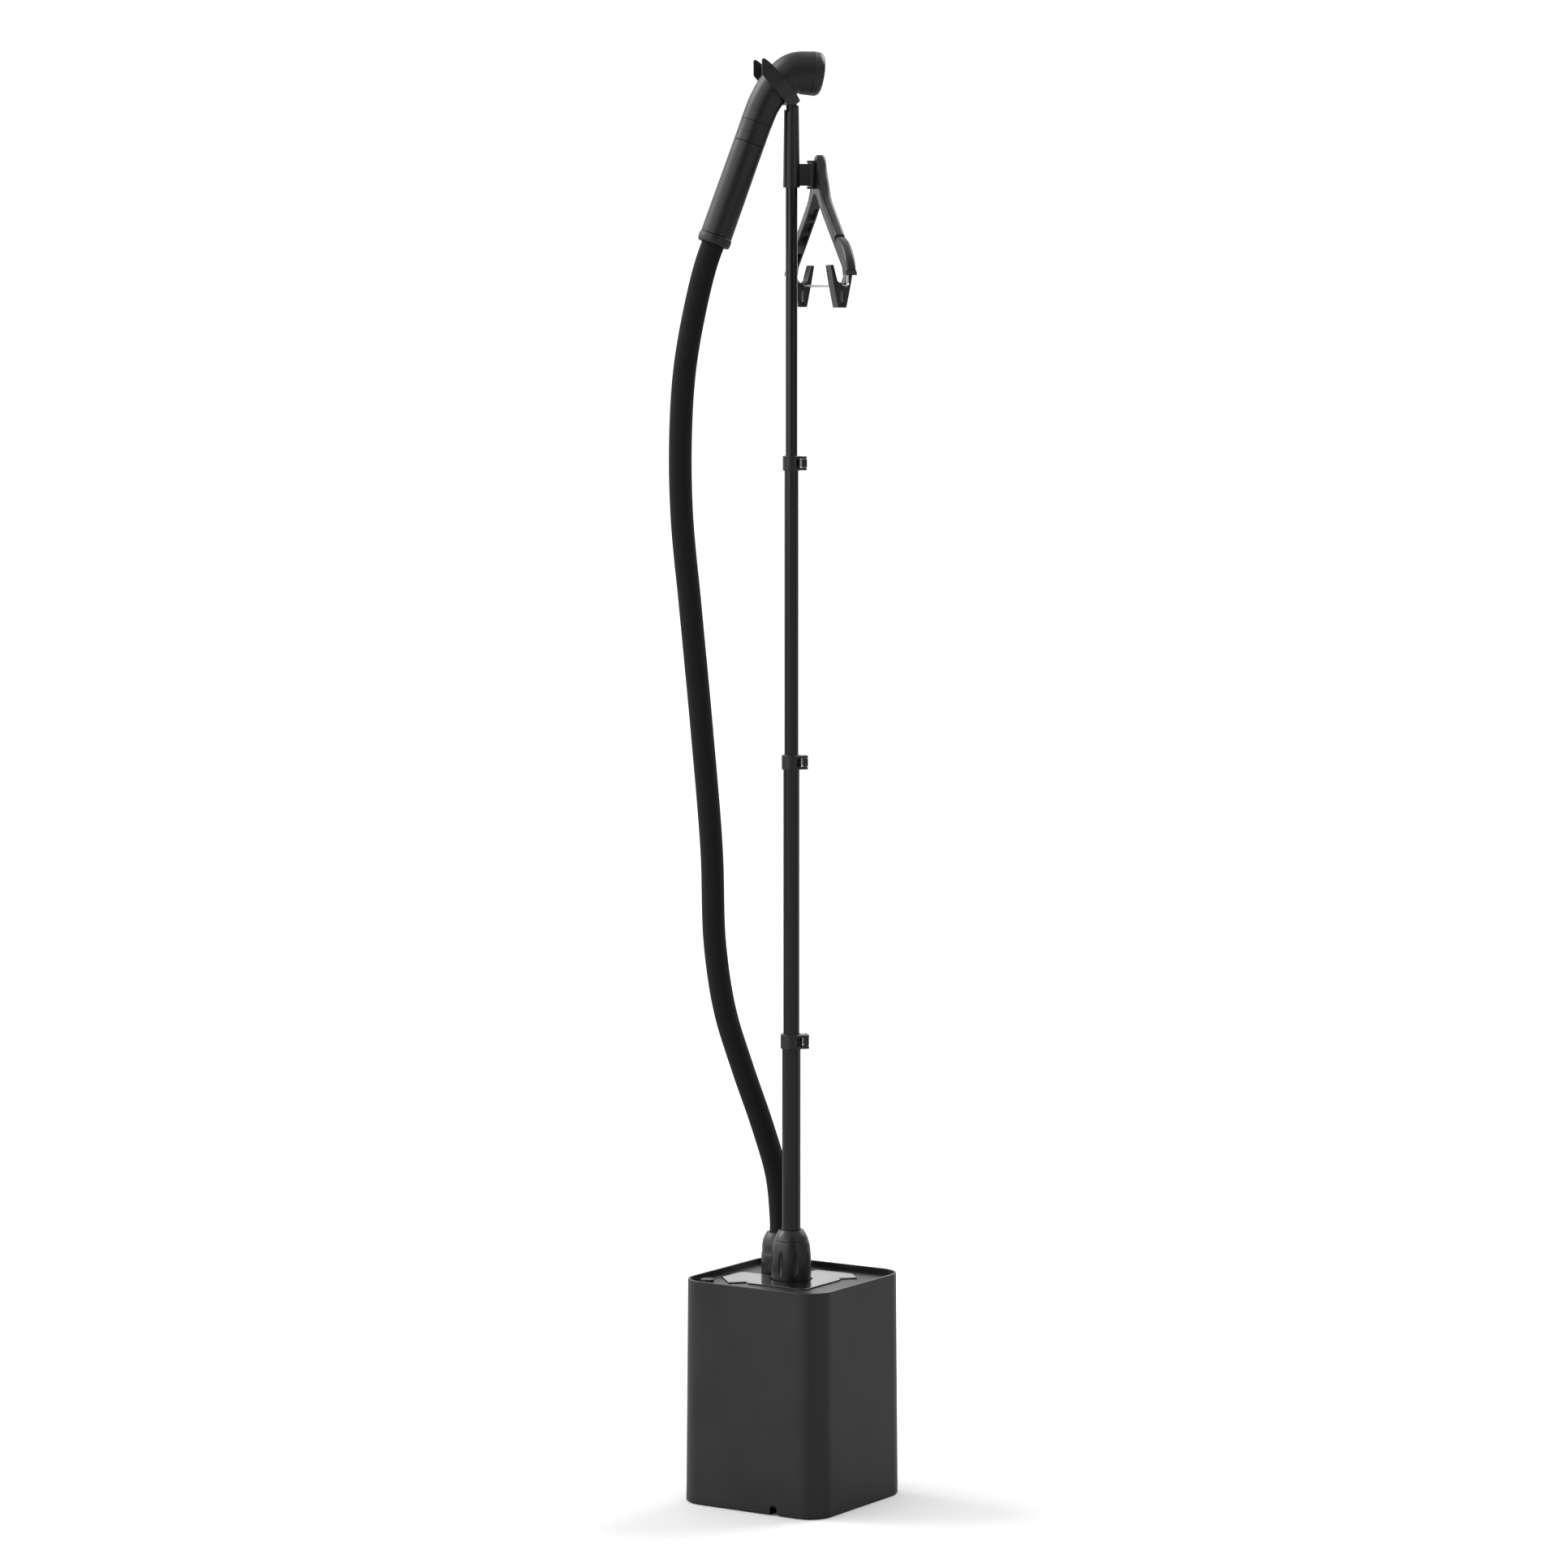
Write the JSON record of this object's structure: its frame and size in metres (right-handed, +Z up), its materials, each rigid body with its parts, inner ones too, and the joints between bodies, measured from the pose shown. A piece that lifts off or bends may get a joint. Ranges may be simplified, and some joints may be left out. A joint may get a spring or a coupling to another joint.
{
  "type": "garment steamer",
  "caption": "Standing garment steamer: square water base, telescopic mast with flip clamps, handset in a cradle, clothes hanger with trouser clips and a steam hose.",
  "frame": {"origin": "centre of the base's underside, on the floor", "axes": "+Z up along the mast; the base's four faces look along X and Y, and the handset's face looks along +X -Y"},
  "size_m": [0.2487, 0.26, 1.6811],
  "materials": {
    "satin_black_plastic": "satin",
    "gloss_black_plastic": "gloss",
    "painted_tube": "satin",
    "hose_sleeve": "matte",
    "rubber": "matte",
    "steel": "brushed",
    "brass": "satin",
    "white_plastic": "satin",
    "smoked_plastic": "gloss",
    "board_green": "satin"
  },
  "bodies": {
    "base": {"floor_plate": "satin_black_plastic", "foot_1": "rubber", "foot_2": "rubber", "foot_3": "rubber", "foot_4": "rubber", "housing": "satin_black_plastic", "deck": "gloss_black_plastic", "mast_socket": "satin_black_plastic", "mast_tube_1": "painted_tube", "clamp_1": "satin_black_plastic", "clamp_pin_1": "steel", "hose_port": "satin_black_plastic", "tank_seat": "white_plastic", "boiler": "steel", "boiler_stand": "white_plastic", "heater_band": "brass", "thermostat": "steel", "pump": "white_plastic", "control_board": "board_green", "feed_pipe": "white_plastic", "boiler_pipe": "white_plastic", "steam_pipe": "steel", "power_switch": "white_plastic", "steam_hose": "hose_sleeve"},
    "tank": {"water_tank": "smoked_plastic", "tank_cover": "gloss_black_plastic", "tank_cap": "white_plastic", "tank_valve": "steel"},
    "button": {"power_button": "satin_black_plastic"},
    "mast_nut": {"mast_nut": "satin_black_plastic"},
    "hose_nut": {"hose_nut": "satin_black_plastic"},
    "lever_1": {"clamp_lever_1": "satin_black_plastic"},
    "stage_2": {"mast_tube_2": "painted_tube", "clamp_2": "satin_black_plastic", "clamp_pin_2": "steel"},
    "lever_2": {"clamp_lever_2": "satin_black_plastic"},
    "stage_3": {"mast_tube_3": "painted_tube", "clamp_3": "satin_black_plastic", "clamp_pin_3": "steel"},
    "lever_3": {"clamp_lever_3": "satin_black_plastic"},
    "mast_top": {"mast_tube_4": "painted_tube", "mast_sleeve": "satin_black_plastic", "cradle": "satin_black_plastic", "hanger_pin": "steel"},
    "hanger": {"hanger": "satin_black_plastic", "trouser_bar": "steel"},
    "clip_1": {"clip_jaw_1": "satin_black_plastic", "clip_spring_1": "steel"},
    "clip_press_1": {"clip_press_1": "satin_black_plastic"},
    "clip_2": {"clip_jaw_2": "satin_black_plastic", "clip_spring_2": "steel"},
    "clip_press_2": {"clip_press_2": "satin_black_plastic"},
    "handset": {"handle_cap": "satin_black_plastic", "handle_grip": "satin_black_plastic", "handle_collar": "satin_black_plastic", "steam_inlet": "brass", "steam_tube": "steel", "neck": "satin_black_plastic", "head_ring": "satin_black_plastic", "steam_plate": "satin_black_plastic"}
  },
  "joints": [
    {"name": "mast_slide", "type": "slide", "parent": "base", "child": "mast_top", "axis": [0, 0, 1], "range_m": [-0.78, 0], "deforming": ["steam_hose"]},
    {"name": "stage_3_slide", "type": "slide", "parent": "base", "child": "stage_3", "axis": [0, 0, 1], "range_m": [-0.52, 0]},
    {"name": "stage_2_slide", "type": "slide", "parent": "base", "child": "stage_2", "axis": [0, 0, 1], "range_m": [-0.26, 0]},
    {"name": "clamp_lever_1_flip", "type": "hinge", "parent": "base", "child": "lever_1", "pos_m": [0.01008, -0.01269, 0.5375], "axis": [0, 0, -1], "range_deg": [0, 110]},
    {"name": "clamp_lever_2_flip", "type": "hinge", "parent": "stage_2", "child": "lever_2", "pos_m": [0.00916, -0.01177, 0.8635], "axis": [0, 0, -1], "range_deg": [0, 110]},
    {"name": "clamp_lever_3_flip", "type": "hinge", "parent": "stage_3", "child": "lever_3", "pos_m": [0.00824, -0.01085, 1.2095], "axis": [0, 0, -1], "range_deg": [0, 110]},
    {"name": "mast_nut_turn", "type": "hinge", "parent": "base", "child": "mast_nut", "pos_m": [0.004, 0.004, 0.287], "axis": [0, 0, 1], "range_deg": [0, 360]},
    {"name": "hose_nut_turn", "type": "hinge", "parent": "base", "child": "hose_nut", "pos_m": [0.045, 0.045, 0.28], "axis": [0, 0, 1], "range_deg": [0, 360]},
    {"name": "tank_lift", "type": "slide", "parent": "base", "child": "tank", "axis": [0, 0, 1], "range_m": [0, 0.25]},
    {"name": "button_press", "type": "slide", "parent": "base", "child": "button", "axis": [0, 0, -1], "range_m": [0, 0.002], "stiffness_N_per_m": 600, "springref_m": -0.001},
    {"name": "handset_lift", "type": "slide", "parent": "mast_top", "child": "handset", "axis": [0.243, -0.243, 0.9391], "range_m": [0, 0.06]},
    {"name": "hanger_swivel", "type": "hinge", "parent": "mast_top", "child": "hanger", "pos_m": [0.02132, -0.01332, 1.54], "axis": [0, 0, 1], "range_deg": [-55, 55]},
    {"name": "clip_1_slide", "type": "slide", "parent": "hanger", "child": "clip_1", "axis": [0.7071, 0.7071, 0], "range_m": [-0.015, 0.085]},
    {"name": "clip_1_open", "type": "hinge", "parent": "clip_1", "child": "clip_press_1", "pos_m": [-0.04741, -0.0945, 1.413], "axis": [0.7071, 0.7071, 0], "range_deg": [-14, 0], "stiffness_Nm_per_rad": 0.15, "springref_deg": 20.05},
    {"name": "clip_2_slide", "type": "slide", "parent": "hanger", "child": "clip_2", "axis": [0.7071, 0.7071, 0], "range_m": [-0.085, 0.015]},
    {"name": "clip_2_open", "type": "hinge", "parent": "clip_2", "child": "clip_press_2", "pos_m": [0.1025, 0.05541, 1.413], "axis": [0.7071, 0.7071, 0], "range_deg": [-14, 0], "stiffness_Nm_per_rad": 0.15, "springref_deg": 20.05}
  ],
  "couplings": [
    {"joint": "stage_3_slide", "follows": "mast_slide", "ratio": 0.66667},
    {"joint": "stage_2_slide", "follows": "mast_slide", "ratio": 0.33333}
  ]
}
